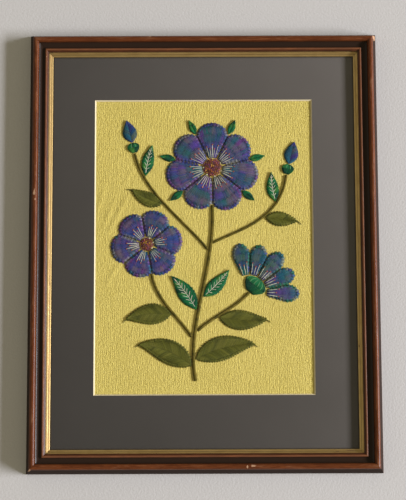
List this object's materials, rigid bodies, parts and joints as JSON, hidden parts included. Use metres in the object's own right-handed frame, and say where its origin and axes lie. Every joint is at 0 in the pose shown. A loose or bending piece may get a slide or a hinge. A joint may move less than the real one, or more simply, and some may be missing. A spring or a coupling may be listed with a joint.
{
  "type": "framed embroidered silk panel",
  "caption": "Yellow silk panel with a raised embroidered flower spray, in a grey mount under glass, in a dark wooden frame with a gilt slip.",
  "frame": {"origin": "middle of the frame's back, on the surface that it lies on", "axes": "+Z out of the picture towards the viewer, +Y to the top of the picture, +X to its right"},
  "size_m": [0.405, 0.512, 0.0185],
  "materials": {
    "mahogany": "stained and waxed, with a near-black hollow",
    "gilt": "gilt wood, softly polished",
    "picture_glass": "clear, polished",
    "grey_mount_board": "matt grey paper face, cream core at the bevel",
    "yellow_silk": "slubbed crepe silk with a soft sheen",
    "hardboard": "plain brown board",
    "blue_thread": "long and short satin stitch in shaded blue thread",
    "violet_thread": "long and short satin stitch in shaded violet thread",
    "teal_thread": "long and short satin stitch in shaded teal thread",
    "emerald_thread": "green stitches with pale veins",
    "olive_thread": "olive fishbone stitch and wrapped stems",
    "orange_thread": "knots in orange, pink and brown thread"
  },
  "bodies": {
    "root": {"backing_board": "hardboard", "bud_leaf_high_left": "emerald_thread", "bud_leaf_high_right": "emerald_thread", "bud_leaf_low_left": "olive_thread", "bud_leaf_low_right": "olive_thread", "fan_cup": "emerald_thread", "fan_petal_1": "teal_thread", "fan_petal_2": "teal_thread", "fan_petal_3": "teal_thread", "fan_petal_4": "teal_thread", "fan_petal_5": "teal_thread", "foot_leaf_left": "olive_thread", "foot_leaf_right": "olive_thread", "glass": "picture_glass", "high_bloom_heart": "orange_thread", "high_bloom_petal_1": "blue_thread", "high_bloom_petal_2": "blue_thread", "high_bloom_petal_3": "blue_thread", "high_bloom_petal_4": "blue_thread", "high_bloom_petal_5": "blue_thread", "high_bloom_petal_6": "blue_thread", "high_bloom_petal_7": "blue_thread", "left_bloom_heart": "orange_thread", "left_bloom_petal_1": "violet_thread", "left_bloom_petal_2": "violet_thread", "left_bloom_petal_3": "violet_thread", "left_bloom_petal_4": "violet_thread", "left_bloom_petal_5": "violet_thread", "left_bloom_petal_6": "violet_thread", "left_bud": "teal_thread", "left_bud_cup": "emerald_thread", "left_bud_stem": "olive_thread", "left_stem": "olive_thread", "low_leaf_left": "olive_thread", "low_leaf_right": "olive_thread", "main_stem": "olive_thread", "middle_leaf_left": "emerald_thread", "middle_leaf_right": "emerald_thread", "mount_board": "grey_mount_board", "rail_bottom": "mahogany", "rail_left": "mahogany", "rail_right": "mahogany", "rail_top": "mahogany", "right_bud": "violet_thread", "right_bud_cup": "emerald_thread", "right_bud_stem": "olive_thread", "right_stem": "olive_thread", "sepal_1": "emerald_thread", "sepal_2": "emerald_thread", "sepal_3": "emerald_thread", "sepal_4": "emerald_thread", "sepal_5": "emerald_thread", "sepal_6": "emerald_thread", "silk_ground": "yellow_silk", "slip_bottom": "gilt", "slip_left": "gilt", "slip_right": "gilt", "slip_top": "gilt"}
  },
  "joints": []
}
